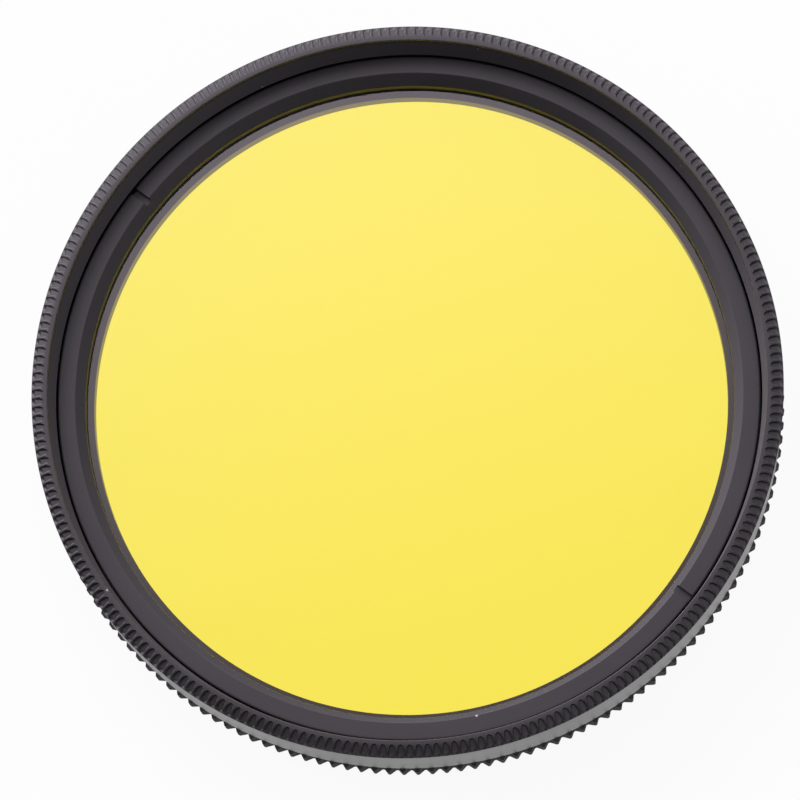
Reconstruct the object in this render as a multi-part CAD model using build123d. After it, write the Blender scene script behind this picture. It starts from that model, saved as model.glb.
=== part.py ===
from build123d import *
from math import asin, atan2, cos, pi, radians, sin
import os

# Screw-in colour filter in a rotating ring mount, millimetres, +Z up.
# It lies on the end of its male thread with the glass facing up, and the
# origin is on the axis at the level that it lies on.

# Glass disc, the size that every ring is built round
glass_diameter = 50.0
glass_thickness = 1.2
glass_chamfer = 0.1

# Turning front ring, from the glass outwards
glass_overlap = 1.45
ledge_height = 1.05
pocket_wall = 0.4
recess_depth = 2.65
recess_flare = 0.28
lip_width = 0.24
shoulder_width = 0.98
shoulder_drop = 0.46
edge_chamfer = 0.12

# Serrations milled across the rounded shoulder of the front ring
front_teeth = 264
front_rib_width = 0.10
front_groove_start = 0.05
front_groove_wall = 0.26
front_groove_rim = 0.02

# Slotted ring that screws in over the glass and holds it down
holder_overhang = 0.9
holder_height = 2.05
holder_face_width = 1.33
holder_foot_width = 1.9
holder_foot_height = 0.55
slot_width = 0.55
slot_depth = 0.45
slot_angle = 142.5

# Fixed rear ring and its male thread
rear_knurl_proud = 0.2
rear_knurl_depth = 0.45
rear_knurl_teeth = 166
rear_ring_height = 2.5
rear_seat_height = 1.1
rear_top_chamfer = 0.35
rear_bottom_chamfer = 0.8
thread_length = 2.3
thread_pitch = 0.75
thread_step = 0.5
thread_wall = 1.15
relief_width = 0.5
relief_bite = 0.1

# Flat spring wire that keeps the two rings together
wire_width = 0.5
wire_edge = 0.1
wire_gap_angle = 8.0
wire_height = 0.55

# Clearances
running_clearance = 0.05
joint_gap = 0.1
glass_clearance = 0.05
holder_clearance = 0.1
wire_clearance = 0.05

# Levels, worked out upwards from the end of the thread
flange_bottom = thread_length
rear_seat = flange_bottom + rear_seat_height
flange_top = flange_bottom + rear_ring_height
band_bottom = flange_top + joint_gap
ledge_top = rear_seat + ledge_height
glass_top = ledge_top + glass_thickness
holder_top = glass_top + holder_height
lip_top = holder_top + recess_depth
shoulder_level = lip_top - shoulder_drop
wire_level = rear_seat + wire_height

# Radii, worked out from the glass outwards
glass_radius = glass_diameter / 2
glass_pocket_radius = glass_radius + glass_clearance
aperture_radius = glass_radius - glass_overlap
spigot_radius = glass_pocket_radius + pocket_wall
rear_bore_radius = spigot_radius + running_clearance
thread_radius = rear_bore_radius + thread_step
thread_root_radius = thread_radius - 0.6134 * thread_pitch
thread_bore_radius = thread_radius - thread_wall
holder_radius = glass_radius + holder_overhang
holder_bore_radius = holder_radius + holder_clearance
lip_inner_radius = holder_bore_radius + recess_flare
lip_outer_radius = lip_inner_radius + lip_width
band_radius = lip_outer_radius + shoulder_width
rear_crest_radius = band_radius + rear_knurl_proud
rear_root_radius = rear_crest_radius - rear_knurl_depth
wire_ring_radius = spigot_radius + running_clearance / 2
wire_groove_half = wire_width / 2 + wire_clearance


def turned(points):
    """Solid of revolution about Z from (radius, height) corners."""
    profile = make_face(Polyline(*[(r, 0, z) for r, z in points], close=True))
    return revolve(profile, Axis.Z)


def wire_groove():
    """Square ring groove round the spring wire, half in each of the rings."""
    half = wire_groove_half
    return turned([
        (wire_ring_radius - half, wire_level - half),
        (wire_ring_radius + half, wire_level - half),
        (wire_ring_radius + half, wire_level + half),
        (wire_ring_radius - half, wire_level + half),
    ])


def shoulder_round():
    """Ring between the square corner of the band and its rounded shoulder.
    The round is an arc that leaves the lip level and ends on the band."""
    across, down = shoulder_width, shoulder_drop
    radius = (across ** 2 + down ** 2) / (2 * down)
    half = asin(across / radius) / 2
    middle = (lip_outer_radius + radius * sin(half), 0, lip_top - radius + radius * cos(half))
    start = (lip_outer_radius, 0, lip_top)
    end = (band_radius, 0, shoulder_level)
    clear = 0.5
    above = (band_radius + clear, 0, shoulder_level)
    corner = (band_radius + clear, 0, lip_top + clear)
    over = (lip_outer_radius, 0, lip_top + clear)
    outline = ThreePointArc(start, middle, end) + Polyline(end, above, corner, over, start)
    return revolve(make_face(outline), Axis.Z)


def serration_grooves():
    """Grooves between the ribs, each milled outwards along a sloping floor.
    The floor starts below the lip and runs out just under the band's edge."""
    inner = lip_outer_radius + front_groove_start
    start = lip_top - front_groove_wall
    end = shoulder_level - front_groove_rim
    slope = atan2(start - end, band_radius - inner)
    run = (band_radius - inner) / cos(slope)
    pitch = 2 * pi * band_radius / front_teeth
    half = (pitch - front_rib_width) / 2
    floor = Plane(origin=(inner, 0, start), x_dir=(cos(slope), 0, -sin(slope)), z_dir=(sin(slope), 0, cos(slope)))
    corners = [(0, 0.5), (run + 0.1, 1.0)]
    side = [(x, half * y) for x, y in corners]
    loop = side + [(x, -y) for x, y in reversed(side)]
    plan = floor * make_face(Polyline(*loop, close=True))
    cutter = extrude(plan, 2 * shoulder_drop, dir=floor.z_dir)
    return [loc * cutter for loc in PolarLocations(0, front_teeth)]


def make_front_ring():
    """Turning ring: lip, serrated shoulder, plain band, glass seat, spigot."""
    body = turned([
        (aperture_radius, rear_seat),
        (spigot_radius - edge_chamfer, rear_seat),
        (spigot_radius, rear_seat + edge_chamfer),
        (spigot_radius, band_bottom),
        (band_radius - edge_chamfer, band_bottom),
        (band_radius, band_bottom + edge_chamfer),
        (band_radius, lip_top),
        (lip_inner_radius, lip_top),
        (holder_bore_radius, holder_top),
        (holder_bore_radius, glass_top - glass_chamfer),
        (glass_pocket_radius, glass_top - glass_chamfer),
        (glass_pocket_radius, ledge_top),
        (aperture_radius, ledge_top),
    ])
    return body - wire_groove() - shoulder_round() - serration_grooves()


def knurl_star():
    """Prism with straight V teeth, as tall as the rear ring's grip."""
    half_step = 180 / rear_knurl_teeth
    corners = []
    for i in range(rear_knurl_teeth):
        for radius, turn in ((rear_crest_radius, 2 * i), (rear_root_radius, 2 * i + 1)):
            angle = radians(half_step * turn)
            corners.append((radius * cos(angle), radius * sin(angle), flange_bottom))
    plan = make_face(Polyline(*corners, close=True))
    return extrude(plan, rear_ring_height, dir=(0, 0, 1))


def thread_relief():
    """Undercut at the end of the thread that bites a little into the seat face."""
    outer = thread_radius + relief_bite
    low, high = thread_length - relief_width, flange_bottom + relief_bite
    return turned([(thread_root_radius, low), (outer, low), (outer, high), (thread_root_radius, high)])


def make_mount_ring():
    """Fixed rear ring: knurled grip, seat for the front ring, male thread."""
    grip = turned([
        (rear_bore_radius, flange_bottom),
        (rear_root_radius, flange_bottom),
        (rear_crest_radius, flange_bottom + rear_bottom_chamfer),
        (rear_crest_radius, flange_top - rear_top_chamfer),
        (rear_root_radius, flange_top),
        (rear_bore_radius, flange_top),
    ])
    grip &= knurl_star()
    collar = turned([
        (thread_bore_radius, 0),
        (thread_root_radius, 0),
        (thread_radius, thread_radius - thread_root_radius),
        (thread_radius, rear_seat),
        (thread_bore_radius, rear_seat),
    ])
    return grip + collar - thread_relief() - wire_groove()


def make_filter_glass():
    """Flat colour glass disc with a fine chamfer on both edges."""
    return turned([
        (0, ledge_top),
        (glass_radius - glass_chamfer, ledge_top),
        (glass_radius, ledge_top + glass_chamfer),
        (glass_radius, glass_top - glass_chamfer),
        (glass_radius - glass_chamfer, glass_top),
        (0, glass_top),
    ])


def make_retaining_ring():
    """Screw-in ring over the glass, with two slots for a spanner."""
    foot = holder_radius - holder_foot_width
    ring = turned([
        (foot, glass_top),
        (holder_radius, glass_top),
        (holder_radius, holder_top - edge_chamfer),
        (holder_radius - edge_chamfer, holder_top),
        (holder_radius - holder_face_width, holder_top),
        (foot, glass_top + holder_foot_height),
    ])
    slot = Box(2 * holder_radius + 2, slot_width, slot_depth * 2)
    slot = Pos(0, 0, holder_top) * slot
    return ring - Rot(0, 0, slot_angle) * slot


def make_spring_wire():
    """Open ring of flat wire with broken edges, half in each ring's groove."""
    half, edge = wire_width / 2, wire_width / 2 - wire_edge
    section = [(-half, -edge), (-edge, -half), (edge, -half), (half, -edge),
               (half, edge), (edge, half), (-edge, half), (-half, edge)]
    outline = [(wire_ring_radius + r, 0, wire_level + z) for r, z in section]
    face = make_face(Polyline(*outline, close=True))
    ring = revolve(face, Axis.Z, revolution_arc=360 - wire_gap_angle)
    return Rot(0, 0, slot_angle) * ring


pieces = {
    "mount_ring": make_mount_ring(),
    "front_ring": make_front_ring(),
    "filter_glass": make_filter_glass(),
    "retaining_ring": make_retaining_ring(),
    "spring_wire": make_spring_wire(),
}

os.makedirs("parts", exist_ok=True)
for name, piece in pieces.items():
    export_step(piece, f"parts/{name}.step")
    print(name, "solids", len(piece.solids()), "volume", round(piece.volume, 2))
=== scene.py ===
# %% [markdown]
# A yellow colour filter in a black rotating mount, seen from above.
#
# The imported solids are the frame: they say where every piece is and how
# large it may be. Each ring that shows is then worked out again as a fine
# surface, and the solids keep only the glass and the hidden spring wire.

# %% Load the frame
import bmesh
import bpy
import numpy as np
from mathutils import Matrix, Vector


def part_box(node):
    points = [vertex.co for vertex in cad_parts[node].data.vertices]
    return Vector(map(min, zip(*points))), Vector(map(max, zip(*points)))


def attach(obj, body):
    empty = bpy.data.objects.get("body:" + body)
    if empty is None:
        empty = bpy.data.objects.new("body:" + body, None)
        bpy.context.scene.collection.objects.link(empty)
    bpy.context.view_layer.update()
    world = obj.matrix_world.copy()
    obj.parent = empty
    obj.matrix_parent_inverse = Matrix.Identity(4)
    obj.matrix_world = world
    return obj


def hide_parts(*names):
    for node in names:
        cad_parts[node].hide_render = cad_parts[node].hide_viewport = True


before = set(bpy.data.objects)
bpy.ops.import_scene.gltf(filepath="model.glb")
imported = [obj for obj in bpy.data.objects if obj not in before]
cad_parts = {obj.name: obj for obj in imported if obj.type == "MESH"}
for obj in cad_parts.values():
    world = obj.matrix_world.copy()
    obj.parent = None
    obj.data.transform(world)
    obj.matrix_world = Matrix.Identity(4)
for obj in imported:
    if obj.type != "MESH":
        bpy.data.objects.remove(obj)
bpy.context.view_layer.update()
MM = 0.001

# %% [markdown]
# A turned part is described by radii and heights. The frame's boxes give the
# outside ones. The widths of the hidden steps between them are named here, as
# a maker would dimension them, and everything else follows from the glass.

# %% Sizes, in millimetres
def radius_of(node):
    return max(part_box(node)[1][0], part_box(node)[1][1]) / MM


def level(node, top):
    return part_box(node)[1 if top else 0][2] / MM


glass_radius = radius_of("filter_glass")
glass_top = level("filter_glass", True)
ledge_top = level("filter_glass", False)
holder_radius = radius_of("retaining_ring")
holder_top = level("retaining_ring", True)
band_radius = radius_of("front_ring")
lip_top = level("front_ring", True)
rear_seat = level("front_ring", False)
crest_radius = radius_of("mount_ring")
grip_top = level("mount_ring", True)

glass_overlap, glass_play, pocket_wall, running_play = 1.45, 0.05, 0.4, 0.05
holder_play, recess_flare, lip_width, shoulder_drop = 0.1, 0.28, 0.24, 0.46
joint_gap, seat_height, knurl_depth = 0.1, 1.1, 0.45
thread_step, thread_pitch, thread_wall = 0.5, 0.75, 1.15

aperture_radius = glass_radius - glass_overlap
pocket_radius = glass_radius + glass_play
spigot_radius = pocket_radius + pocket_wall
bore_radius = spigot_radius + running_play
holder_bore = holder_radius + holder_play
lip_inner = holder_bore + recess_flare
lip_outer = lip_inner + lip_width
band_top = lip_top - shoulder_drop
band_bottom = grip_top + joint_gap
grip_bottom = rear_seat - seat_height
root_radius = crest_radius - knurl_depth
thread_radius = bore_radius + thread_step
thread_bore = thread_radius - thread_wall
print("lip", round(lip_outer, 2), "band", round(band_radius, 2), "height", round(lip_top, 2))

# %% [markdown]
# Every ring is a lathe shape: a closed outline of radius and height, carried
# once round the axis. Real edges are never quite sharp, and it is the tiny
# round on them that catches the light, so each corner becomes a short arc.
# Points just beside each arc keep the flat faces flat in smooth shading.

# %% Outlines with rounded corners
def rounded(corners, steps=3, hold=0.6):
    """Outline points from (radius, height, rounding) corners. Each corner is
    replaced by the arc that touches both of its sides: the arc's ends lie at
    rounding * tan(turn / 2) from the corner, and its points are the corner
    moved along both sides by a quadratic curve. A point is added beyond each
    end, so that shading bends only on the arc."""
    xy = np.array([c[:2] for c in corners], float)
    size = np.array([c[2] for c in corners], float)
    before, after = np.roll(xy, 1, 0) - xy, np.roll(xy, -1, 0) - xy
    reach_b = np.linalg.norm(before, axis=1)
    reach_a = np.linalg.norm(after, axis=1)
    before /= reach_b[:, None]
    after /= reach_a[:, None]
    back = np.minimum(size, 0.3 * np.minimum(reach_b, reach_a))
    t = np.concatenate([[-hold], np.linspace(0, 1, steps + 1), [1 + hold]])
    to_b = np.where(t < 0, 1 - t, (1 - np.clip(t, 0, 1)) ** 2)
    to_a = np.where(t > 1, t, np.clip(t, 0, 1) ** 2)
    points = (xy[:, None] + back[:, None, None] * (
        before[:, None] * to_b[None, :, None] + after[:, None] * to_a[None, :, None]))
    return points.reshape(-1, 2)


def turned(outline, columns):
    """Grid of points (row, column, xyz): outline row (r, z) at angle a is
    (r cos a, r sin a, z)."""
    a = 2 * np.pi * np.arange(columns) / columns
    r, z = outline[:, :1], outline[:, 1:]
    return np.stack([r * np.cos(a), r * np.sin(a), np.broadcast_to(z, (len(r), columns))], -1)


square = rounded([(0, 0, 0.1), (1, 0, 0.1), (1, 1, 0.1), (0, 1, 0.1)])
print("a square with round corners has", len(square), "points")

# %% [markdown]
# A grid becomes a mesh by joining each point to its neighbours with a square.
# Where a grid goes right round, its last column joins its first one, so a
# ring has no seam at all. Points that two grids share are merged afterwards.

# %% Grids into meshes
def grid_faces(rows, columns, closed_rows=True):
    """Corner numbers of the squares between neighbouring grid points. The
    columns always go right round, and the rows do where the outline closes."""
    i = np.arange(rows if closed_rows else rows - 1)[:, None]
    j = np.arange(columns)[None]
    ni, nj = (i + 1) % rows, (j + 1) % columns
    square = [i * columns + j, i * columns + nj, ni * columns + nj, ni * columns + j]
    return np.stack(np.broadcast_arrays(*square), -1).reshape(-1, 4)


def make_piece(name, parts, node, body, sharp=35.0, merge=2e-5):
    """One mesh object from (points in mm, faces) parts. Points closer than
    merge millimetres become one, and normals are turned to face outwards."""
    counts = np.cumsum([0] + [len(points) for points, _ in parts])
    points = np.concatenate([points for points, _ in parts]) * MM
    faces = np.concatenate([faces + n for (_, faces), n in zip(parts, counts)])
    mesh = bpy.data.meshes.new(name)
    mesh.vertices.add(len(points))
    mesh.vertices.foreach_set("co", points.ravel())
    mesh.loops.add(faces.size)
    mesh.loops.foreach_set("vertex_index", faces.ravel().astype(np.int32))
    mesh.polygons.add(len(faces))
    mesh.polygons.foreach_set("loop_start", np.arange(0, faces.size, 4, dtype=np.int32))
    mesh.update(calc_edges=True)
    work = bmesh.new()
    work.from_mesh(mesh)
    bmesh.ops.remove_doubles(work, verts=work.verts, dist=merge * MM)
    bmesh.ops.dissolve_degenerate(work, edges=work.edges, dist=merge * MM)
    bmesh.ops.recalc_face_normals(work, faces=work.faces)
    open_edges = sum(1 for e in work.edges if not e.is_manifold)
    volume = work.calc_volume(signed=True) / MM ** 3
    work.to_mesh(mesh)
    work.free()
    mesh.polygons.foreach_set("use_smooth", np.ones(len(mesh.polygons), bool))
    mesh.set_sharp_from_angle(angle=np.radians(sharp))
    piece = bpy.data.objects.new(name, mesh)
    bpy.context.collection.objects.link(piece)
    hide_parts(node)
    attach(piece, body)
    triangles = sum(len(p.vertices) - 2 for p in mesh.polygons)
    print(name, "triangles", triangles, "open edges", open_edges, "volume mm3", round(volume, 1))
    return piece


# %% [markdown]
# The camera comes next, because it decides which edges matter. Rays through
# the rims of the rings in the photograph meet at one place, which gives the
# tilt and the distance. A long lens is used, as for a product close-up.

# %% Camera
view_tilt, view_turn, view_distance = 14.37, -76.07, 291.5
lip_pixel = (404.63, 382.16)
frame_pixels, focal_pixels, sensor = 800, 4000, 36.0

tilt, turn = np.radians(view_tilt), np.radians(view_turn)
back = Vector((np.sin(tilt) * np.cos(turn), np.sin(tilt) * np.sin(turn), np.cos(tilt)))
up = (Vector((0, 1, 0)) - back * back.y).normalized()
right = up.cross(back)
place = Vector((0, 0, lip_top * MM)) + back * view_distance * MM

camera_data = bpy.data.cameras.new("camera")
camera_data.sensor_width = sensor
camera_data.lens = sensor * focal_pixels / frame_pixels
camera_data.shift_x = -(lip_pixel[0] - (frame_pixels - 1) / 2) / frame_pixels
camera_data.shift_y = (lip_pixel[1] - (frame_pixels - 1) / 2) / frame_pixels
camera_data.clip_start, camera_data.clip_end = 0.01, 10
camera = bpy.data.objects.new("camera", camera_data)
bpy.context.collection.objects.link(camera)
turn_matrix = Matrix((right, up, back)).transposed().to_4x4()
camera.matrix_world = Matrix.Translation(place) @ turn_matrix
bpy.context.scene.camera = camera
print("camera at", [round(c / MM, 1) for c in place], "mm, lens", camera_data.lens)

# %% [markdown]
# Material nodes are easier to read as arithmetic. This small class stands for
# one socket, so that 1 - mask or noise * 0.2 adds the Math nodes by itself.
# One method makes every other node: its settings come first and then what
# goes into its sockets.

# %% Shader arithmetic
class Signal:
    def __init__(self, nodes, socket):
        self.nodes, self.socket = nodes, socket

    def math(self, operation, *others, clamp=False):
        inputs = {i: value for i, value in enumerate((self, *others))}
        return self.nodes.add("ShaderNodeMath", inputs, operation=operation, use_clamp=clamp)

    def __add__(self, other): return self.math("ADD", other)
    def __radd__(self, other): return self.math("ADD", other)
    def __mul__(self, other): return self.math("MULTIPLY", other)
    def __rmul__(self, other): return self.math("MULTIPLY", other)
    def __sub__(self, other): return self.math("SUBTRACT", other)
    def __rsub__(self, other): return self.math("MULTIPLY_ADD", -1.0, other)
    def __truediv__(self, other): return self.math("DIVIDE", other)
    def __pow__(self, other): return self.math("POWER", other)

    def between(self, low, high):
        """0 below low, 1 above high, with a soft step from one to the other."""
        return self.nodes.add("ShaderNodeMapRange", {0: self, 1: low, 2: high},
                              interpolation_type="SMOOTHSTEP")


class Nodes:
    def __init__(self, owner):
        owner.use_nodes = True
        self.tree = owner.node_tree
        self.tree.nodes.clear()

    def add(self, kind, inputs=None, output=0, **settings):
        node = self.tree.nodes.new(kind)
        for key, value in settings.items():
            setattr(node, key, value)
        for key, value in (inputs or {}).items():
            if isinstance(value, Signal):
                self.tree.links.new(value.socket, node.inputs[key])
            else:
                node.inputs[key].default_value = value
        return Signal(self, node.outputs[output]) if node.outputs else node

    def split(self, vector):
        node = self.add("ShaderNodeSeparateXYZ", {0: vector}).socket.node
        return [Signal(self, socket) for socket in node.outputs]

    def mix(self, factor, first, second):
        """Colour that goes from first to second as factor goes from 0 to 1."""
        return self.add("ShaderNodeMix", {0: factor, 6: first, 7: second}, output=2, data_type="RGBA")


def grey(value, tint=(1, 1, 1)):
    return (value * tint[0], value * tint[1], value * tint[2], 1)


print("shader arithmetic is ready")

# %% [markdown]
# Black anodising is a thin hard skin full of dye over bright metal. It is
# almost black and has a satin gloss that shows the fine lines the lathe left
# under it. The lines follow the axis, so they are a noise of radius and
# height only, and a grain too fine to see as lines keeps the gloss soft.
#
# The sloping walls of the recess were cut in tiny steps, so that they kill
# reflections. Seen from above only the upper flanks of the steps show, and
# the surface shines as if it leaned back. That is what the lean does: it adds
# an upward share to the normal wherever the wall is steep. The teeth of the
# grip have worn edges, and lean a little for the same effect.

# %% Black anodising
def anodised(name, base, gloss, line_height, lean=0.0, lean_from=0.0, lean_within=0.0):
    """Black anodising: base is its grey level and gloss its roughness.
    line_height in metres is how far the turning marks stand up. Walls above
    lean_from and nearer the axis than lean_within, in mm, lean back."""
    material = bpy.data.materials.new(name)
    n = Nodes(material)
    place = n.add("ShaderNodeTexCoord", output=3)
    x, y, z = n.split(place)
    radius = (x * x + y * y) ** 0.5
    across = n.add("ShaderNodeCombineXYZ", {0: radius * 1000, 1: z * 1000, 2: 0.0})
    lines = n.add("ShaderNodeTexNoise", {"Vector": across, "Scale": 9.0, "Detail": 3.0, "Roughness": 0.6},
                  noise_dimensions="3D")
    grain = n.add("ShaderNodeTexNoise", {"Vector": place, "Scale": 9000.0, "Detail": 2.0})
    cloud = n.add("ShaderNodeTexNoise", {"Vector": place, "Scale": 160.0, "Detail": 3.0})
    colour = n.mix(cloud.between(0.35, 0.7), grey(base * 0.85), grey(base * 1.2))
    specks = n.add("ShaderNodeTexVoronoi", {"Vector": place, "Scale": 420.0}, voronoi_dimensions="3D")
    dust = 1 - specks.between(0.035, 0.06)
    some = n.add("ShaderNodeTexNoise", {"Vector": place, "Scale": 300.0, "Detail": 0.0}).between(0.62, 0.66)
    colour = n.mix(dust * some, colour, grey(0.45))
    facing = n.add("ShaderNodeNewGeometry", output=1)
    steep = 1 - n.split(facing)[2].math("ABSOLUTE").between(0.5, 0.9)
    above = (z * 1000).between(lean_from, lean_from + 0.1)
    within = 1 - (radius * 1000).between(lean_within - 0.05, lean_within)
    wall = steep * above * within
    upward = n.add("ShaderNodeCombineXYZ", {0: 0.0, 1: 0.0, 2: wall * lean})
    leaning = n.add("ShaderNodeVectorMath", {0: facing, 1: upward}, operation="ADD")
    normal = n.add("ShaderNodeVectorMath", {0: leaning}, operation="NORMALIZE")
    roughness = gloss + (lines - 0.5) * 0.12 + (cloud - 0.5) * 0.10 + wall * 0.12
    height = lines * 0.6 + grain * 0.4
    bump = n.add("ShaderNodeBump", {
        "Height": height, "Strength": 1.0, "Distance": line_height, "Normal": normal})
    surface = n.add("ShaderNodeBsdfPrincipled", {
        "Base Color": colour, "Roughness": roughness, "Normal": bump, "IOR": 1.6})
    n.add("ShaderNodeOutputMaterial", {"Surface": surface})
    return material


front_black = anodised("anodised_front", 0.012, 0.36, 4e-6, 1.6, holder_top, lip_inner)
holder_black = anodised("anodised_holder", 0.012, 0.40, 4e-6, 1.3, glass_top + 0.6, holder_radius)
rear_black = anodised("anodised_rear", 0.012, 0.55, 4e-6, 0.4, -1.0, crest_radius + 1)
print("anodised finishes:", front_black.name, holder_black.name, rear_black.name)

# %% [markdown]
# The front ring is the showpiece. Its outer edge is rounded over and carries
# 264 serrations. Each is a groove with a narrow, rounded inner end that runs
# out at the band, and what is left between two of them is a slim curved rib.
# One groove and the ribs beside it are worked out as nested loops of points,
# from the edge of the cell down to the floor, and this one cell is then
# turned to all of its places at once.

# %% Serration cells
front_teeth = 264
rib_width, groove_wall = 0.10, 0.26
columns_per_tooth = 3
round_across, round_down = band_radius - lip_outer, lip_top - band_top
round_radius = (round_across ** 2 + round_down ** 2) / (2 * round_down)


def crown(r):
    """Height of the rounded edge: an arc that leaves the lip level."""
    return lip_top - round_radius + np.sqrt(round_radius ** 2 - (r - lip_outer) ** 2)


def floor_level(r):
    """Height of the groove's floor: a straight slope that ends at the band."""
    start = lip_top - groove_wall
    return start + (band_top - start) * np.clip((r - inner) / (outer - inner), 0, 1)


def half_loop(shape):
    """Loop of points (radius, offset) from the points of its one side: the
    other side is the mirror image, in the opposite order."""
    side = np.array(shape)
    return np.concatenate([side, side[::-1] * (1, -1)])


pitch = 2 * np.pi / front_teeth
outer = band_radius - 0.006
inner = lip_outer + 0.05
length = outer - inner
half = (band_radius * pitch - rib_width) / 2
mouth = half_loop([(inner + along * length, across * half) for along, across in (
    (0.0, 0.16), (0.045, 0.42), (0.14, 0.63), (0.30, 0.79), (0.50, 0.89),
    (0.70, 0.95), (0.88, 0.98), (1.0, 1.0), (1.0, 0.34))])
rib = lip_outer + (band_radius - lip_outer) * np.array([0, 0, 0.14, 0.32, 0.52, 0.72, 0.88, 1, 1])
rib_angle = np.array([1 / 3, 1, 1, 1, 1, 1, 1, 1, 1 / 3]) * pitch / 2


def serration_cells():
    """Points (tooth, loop, point, xyz) in mm. The loops are the cell's edge,
    the groove's mouth, the end of the mouth's round and the foot of the wall.
    A point at radius r and angle a stands at (r cos a, r sin a, height)."""
    middle = np.array([(inner + outer) / 2, 0])
    r0 = np.concatenate([rib, rib[::-1]])
    a0 = np.concatenate([rib_angle, -rib_angle[::-1]])
    loops = [(r0, a0, crown(r0))]
    for shrink, drop in ((0.0, 0.0), (0.10, 0.035), (0.20, 1.0)):
        narrow = middle + (mouth - middle) * (1 - shrink * np.array([0.35, 1]))
        narrow[mouth[:, 0] == outer, 0] = outer
        r, a = np.hypot(*narrow.T), np.arctan2(narrow[:, 1], narrow[:, 0])
        r = np.minimum(r, outer)
        loops.append((r, a, np.maximum(crown(r) - drop, floor_level(r))))
    r, a, z = (np.stack(v) for v in zip(*loops))
    turns = a + (pitch * (np.arange(front_teeth) + 0.5))[:, None, None]
    return np.stack([r * np.cos(turns), r * np.sin(turns), np.broadcast_to(z, turns.shape)], -1)


cells = serration_cells()
teeth, loops, around = cells.shape[:3]
one = grid_faces(loops, around, closed_rows=False)
k = np.arange(around // 2 - 1)
cap = (loops - 1) * around + np.stack([k, k + 1, around - 2 - k, around - 1 - k], -1)
cell_faces = np.concatenate([one, cap])
first_points = np.arange(teeth) * loops * around
all_faces = cell_faces + first_points[:, None, None]
all_cells = (cells.reshape(-1, 3), all_faces.reshape(-1, 4))
print("faces in one serration", len(cell_faces))

# %% [markdown]
# The rest of the front ring is one open outline. It starts at the outer edge
# of the serrations, goes down the plain band, round the spigot and the glass seat,
# and comes up the recess to the lip, where it meets the inner edge of the
# serrations.

# %% Front ring
front_outline = rounded([
    (band_radius, band_top - 0.03, 0.0), (band_radius, band_bottom, 0.12),
    (spigot_radius, band_bottom, 0.02), (spigot_radius, rear_seat, 0.10),
    (aperture_radius, rear_seat, 0.04), (aperture_radius, ledge_top, 0.04),
    (pocket_radius, ledge_top, 0.03), (pocket_radius, glass_top - 0.1, 0.03),
    (holder_bore, glass_top - 0.1, 0.03), (holder_bore, holder_top, 0.05),
    (lip_inner, lip_top, 0.05), (lip_outer, lip_top, 0.0)])
front_outline = np.concatenate([[(band_radius, band_top)], front_outline[3:-3], [(lip_outer, lip_top)]])
rows = turned(front_outline, front_teeth * columns_per_tooth)
body = (rows.reshape(-1, 3), grid_faces(rows.shape[0], rows.shape[1], closed_rows=False))
front_ring = make_piece(
    "front_ring_fine", [body, all_cells], "front_ring", "front", sharp=55.0)
front_ring.data.materials.append(front_black)

# %% [markdown]
# The retaining ring screws in over the glass. Its two spanner slots are cut
# right across the face. The slot is made in the grid itself: at each slot
# there are two extra pairs of columns, and between them the outline is that
# of a ring whose top is lower by the depth of the slot.

# %% Retaining ring
slot_width, slot_depth, slot_angle = 0.55, 0.45, 142.5
face_width, foot_width, foot_height = 1.33, 1.9, 0.55
face_inner = holder_radius - face_width
foot_inner = holder_radius - foot_width


def holder_outline(top):
    """Section of the retaining ring cut off at a level. The inner wall leans,
    so its upper corner lies further in where the ring is cut lower."""
    lean = (face_inner - foot_inner) / (holder_top - glass_top - foot_height)
    corner = face_inner - lean * (holder_top - top)
    return rounded([
        (foot_inner, glass_top, 0.03), (holder_radius, glass_top, 0.05), (holder_radius, top, 0.12),
        (corner, top, 0.05), (foot_inner, glass_top + foot_height, 0.08)])


def slotted_ring():
    """Points (row, column, xyz). A column is a direction and a shift sideways
    from it. Plain columns have no shift. At a slot the shift is half of its
    width, so the walls are parallel: a point at radius r stands at
    sqrt(r * r - shift * shift) along the slot and shift across it."""
    whole, cut = holder_outline(holder_top), holder_outline(holder_top - slot_depth)
    gap = slot_width / 2
    clear = np.arcsin(gap * 1.3 / foot_inner)
    plain = np.linspace(clear, np.pi - clear, 360)
    turn = np.concatenate([np.zeros(4), plain])
    shift = np.concatenate([[-gap, -gap, gap, gap], np.zeros(len(plain))])
    lowered = np.concatenate([[0, 1, 1, 0], np.zeros(len(plain))])
    turn = np.concatenate([turn, turn + np.pi]) + np.radians(slot_angle)
    shift, lowered = np.tile(shift, 2), np.tile(lowered, 2)
    section = np.where(lowered[None, :, None] > 0, cut[:, None], whole[:, None])
    r, z = section[..., 0], section[..., 1]
    along = np.sqrt(r * r - shift * shift)
    x = along * np.cos(turn) - shift * np.sin(turn)
    y = along * np.sin(turn) + shift * np.cos(turn)
    return np.stack([x, y, z], -1)


rows = slotted_ring()
part = (rows.reshape(-1, 3), grid_faces(rows.shape[0], rows.shape[1]))
holder = make_piece("retaining_ring_fine", [part], "retaining_ring", "front")
holder.data.materials.append(holder_black)

# %% [markdown]
# The rear ring stays with the lens while the front one turns. Its grip has
# 166 V teeth that chamfers cut off above and below, and its male thread is a
# ridge that climbs round the collar. Both are only a radius that depends on
# angle and height, so the whole ring is one grid, whose rows follow the edges
# of the chamfers.

# %% Rear ring
rear_teeth = 166
land = 0.07
top_chamfer, bottom_chamfer = 0.35, 0.8
relief = 0.5
thread_root = thread_radius - 0.6134 * thread_pitch  # depth of a metric thread


def tooth_angles():
    """Four columns to each tooth: both edges of the narrow crest and both
    edges of the root. Also gives how far each column stands up, 0 to 1."""
    step = 2 * np.pi / rear_teeth
    phase = np.array([-land, land, 0.5 - land, 0.5 + land]) * step
    up = np.array([1.0, 1.0, 0.0, 0.0])
    angle = (np.arange(rear_teeth)[:, None] * step + phase).ravel()
    return angle, np.tile(up, rear_teeth)


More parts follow.
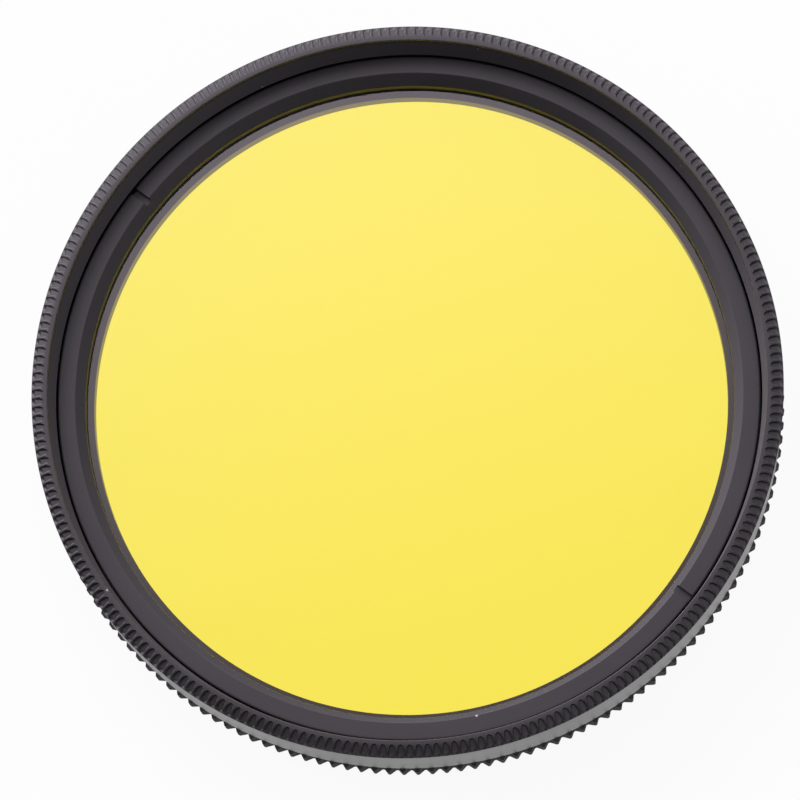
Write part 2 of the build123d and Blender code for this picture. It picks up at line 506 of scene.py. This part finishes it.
def thread_ridge(angle, height):
    """Radius of the thread: a ridge with sloping sides whose middle climbs by
    one pitch a turn. It fades out at the lead chamfer and at the relief."""
    phase = (height / thread_pitch - angle / (2 * np.pi)) % 1.0
    ridge = np.clip(1.9 - 3.4 * np.abs(phase - 0.5) * 1.35, 0, 1)
    lead = np.clip(height / (thread_radius - thread_root), 0, 1)
    run_out = np.clip((grip_bottom - relief - height) / 0.12, 0, 1)
    return thread_root + (thread_radius - thread_root) * ridge * lead * run_out


def rear_ring():
    """Points (row, column, xyz), with rows from the end of the thread, up the
    collar, out over the seat face, up the teeth and back down the bore."""
    angle, up = tooth_angles()
    tip = root_radius + (crest_radius - root_radius) * up
    thread_levels = np.linspace(0.0, grip_bottom - relief, 25)
    rows = [(thread_ridge(angle, h), h) for h in thread_levels]
    neck = [(thread_root, grip_bottom - relief + 0.03), (thread_root, grip_bottom + 0.06),
            (thread_root + 0.04, grip_bottom + 0.1), (thread_radius + 0.1, grip_bottom + 0.1),
            (thread_radius + 0.1, grip_bottom + 0.02), (thread_radius + 0.12, grip_bottom),
            (root_radius - 0.10, grip_bottom), (root_radius - 0.03, grip_bottom)]
    rows += neck
    rows += [(tip, grip_bottom + bottom_chamfer * up), (tip, grip_bottom + bottom_chamfer * up + 0.03)]
    rows += [(tip, grip_top - top_chamfer * up - 0.03), (tip, grip_top - top_chamfer * up)]
    rows += [(root_radius - 0.03, grip_top), (root_radius - 0.10, grip_top)]
    inside = rounded([
        (root_radius - 0.2, grip_top, 0.01), (bore_radius, grip_top, 0.05), (bore_radius, rear_seat, 0.03),
        (thread_bore, rear_seat, 0.04), (thread_bore, 0.0, 0.06), (thread_root - 0.02, 0.0, 0.02)])
    rows += [tuple(p) for p in inside[3:-3]]
    r = np.stack([np.broadcast_to(row[0], angle.shape) for row in rows])
    z = np.stack([np.broadcast_to(row[1], angle.shape) for row in rows])
    return np.stack([r * np.cos(angle), r * np.sin(angle), z], -1)


rows = rear_ring()
part = (rows.reshape(-1, 3), grid_faces(rows.shape[0], rows.shape[1]))
rear = make_piece("mount_ring_fine", [part], "mount_ring", "mount", sharp=28.0)
rear.data.materials.append(rear_black)

# %% [markdown]
# The glass is dyed right through, so its colour belongs to the light that
# goes through it. A coat on the upper face mirrors the bright sky of the
# room: that is why the dark wall behind the glass looks lavender grey and why
# the yellow is pale. Shadow rays and scattered rays go straight through with
# the glass's colour, or the table below would be black.

# %% Yellow glass
def yellow_glass():
    material = bpy.data.materials.new("yellow_glass")
    n = Nodes(material)
    deep = (0.98, 0.84, 0.05, 1)
    place = n.add("ShaderNodeTexCoord", output=3)
    top_face = (n.split(place)[2] * 1000).between(glass_top - 0.12, glass_top - 0.02)
    coated = n.add("ShaderNodeBsdfPrincipled", {
        "Base Color": deep, "Transmission Weight": 1.0, "Roughness": 0.0, "IOR": 1.5,
        "Specular Tint": grey(0.0), "Coat Weight": top_face, "Coat IOR": 1.8, "Coat Roughness": 0.02})
    rays = n.add("ShaderNodeLightPath").socket.node.outputs
    straight = Signal(n, rays["Is Shadow Ray"]).math("MAXIMUM", Signal(n, rays["Is Diffuse Ray"]))
    passed = n.add("ShaderNodeBsdfTransparent", {0: deep})
    surface = n.add("ShaderNodeMixShader", {0: straight, 1: coated, 2: passed})
    n.add("ShaderNodeOutputMaterial", {"Surface": surface})
    return material


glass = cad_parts["filter_glass"]
for number in range(len(glass.material_slots)):
    glass.material_slots[number].material = yellow_glass()
print("glass slots", len(glass.material_slots))

# %% [markdown]
# The spring wire is hidden between the rings. It gets plain bright steel, in
# case someone takes the rings apart.

# %% Spring wire
def spring_steel():
    material = bpy.data.materials.new("spring_steel")
    n = Nodes(material)
    place = n.add("ShaderNodeTexCoord", output=3)
    drawn = n.add("ShaderNodeTexNoise", {"Vector": place, "Scale": 1500.0, "Detail": 3.0})
    tone = n.mix(drawn, grey(0.42), grey(0.58))
    surface = n.add("ShaderNodeBsdfPrincipled", {
        "Base Color": tone, "Metallic": 1.0, "Roughness": drawn * 0.2 + 0.25})
    n.add("ShaderNodeOutputMaterial", {"Surface": surface})
    return material


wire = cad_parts["spring_wire"]
for number in range(len(wire.material_slots)):
    wire.material_slots[number].material = spring_steel()
print("wire slots", len(wire.material_slots))

# %% [markdown]
# The filter lies on a white table. The table is lit like everything else, so
# it keeps the filter's shadow, and a share of its white is its own light for
# rays that come from the camera, from gloss or through the glass.

# %% Table
table_width = 6.0
own_light = 0.93


def table():
    mesh = bpy.data.meshes.new("table")
    half_width = table_width / 2
    corners = [(x * half_width, y * half_width, 0) for x, y in ((-1, -1), (1, -1), (1, 1), (-1, 1))]
    mesh.from_pydata(corners, [], [(0, 1, 2, 3)])
    top = bpy.data.objects.new("table", mesh)
    bpy.context.collection.objects.link(top)
    material = bpy.data.materials.new("white_table")
    n = Nodes(material)
    rays = n.add("ShaderNodeLightPath").socket.node.outputs
    seen = Signal(n, rays["Is Camera Ray"])
    for kind in ("Is Glossy Ray", "Is Transmission Ray"):
        seen = seen.math("MAXIMUM", Signal(n, rays[kind]))
    paper = n.add("ShaderNodeBsdfDiffuse", {0: grey(0.85)})
    glow = n.add("ShaderNodeEmission", {0: grey(1.0), 1: 1.0})
    surface = n.add("ShaderNodeMixShader", {0: seen * own_light, 1: paper, 2: glow})
    n.add("ShaderNodeOutputMaterial", {"Surface": surface})
    mesh.materials.append(material)
    return top


table()
print("table is", table_width, "m wide")

# %% [markdown]
# Black satin shows what it faces, so the room matters more than the lamps.
# The half of the room behind the camera is dark, and so is the space straight
# above. A large soft screen fills the other half, from just behind the zenith
# down to the table. It is brightest at the far left and fades at the far
# right, and a small lamp over the camera's right shoulder lifts the walls
# that face it.

# %% Light tent
screen_turn = np.radians(15)


def light_tent():
    world = bpy.data.worlds.new("light_tent")
    bpy.context.scene.world = world
    n = Nodes(world)
    ray = n.add("ShaderNodeTexCoord", output=0)
    x, y, z = n.split(ray)

    def lamp(direction, power):
        way = Vector(direction).normalized()
        facing = n.add("ShaderNodeVectorMath", {0: ray, 1: tuple(way)}, output=1, operation="DOT_PRODUCT")
        return facing.math("MAXIMUM", 0.0) ** power

    far_left, far_right, shoulder = (-0.6, 0.7, 0.35), (0.6, 0.75, 0.35), (0.45, -0.3, 0.84)
    behind = y * np.cos(screen_turn) - x * np.sin(screen_turn)
    screen = behind.between(0.12, 0.45) * 2.0 * (1 - lamp(far_right, 4) * 0.65)
    room = behind.between(-0.5, 0.1) * 0.36 + 0.11
    level = screen + room + lamp(far_left, 6) * 1.3 + lamp(shoulder, 12) * 0.9
    sky = n.add("ShaderNodeBackground", {0: (1.0, 0.9, 1.03, 1), 1: level})
    n.add("ShaderNodeOutputWorld", {0: sky})


light_tent()
print("the screen is turned", round(float(np.degrees(screen_turn))), "degrees to the left")

# %% [markdown]
# The colours are shown as they are, with no film curve. Then the boxes of the
# solids and of the dressed part are written down, to compare the two.

# %% Finish
bpy.context.scene.view_settings.view_transform = "Standard"
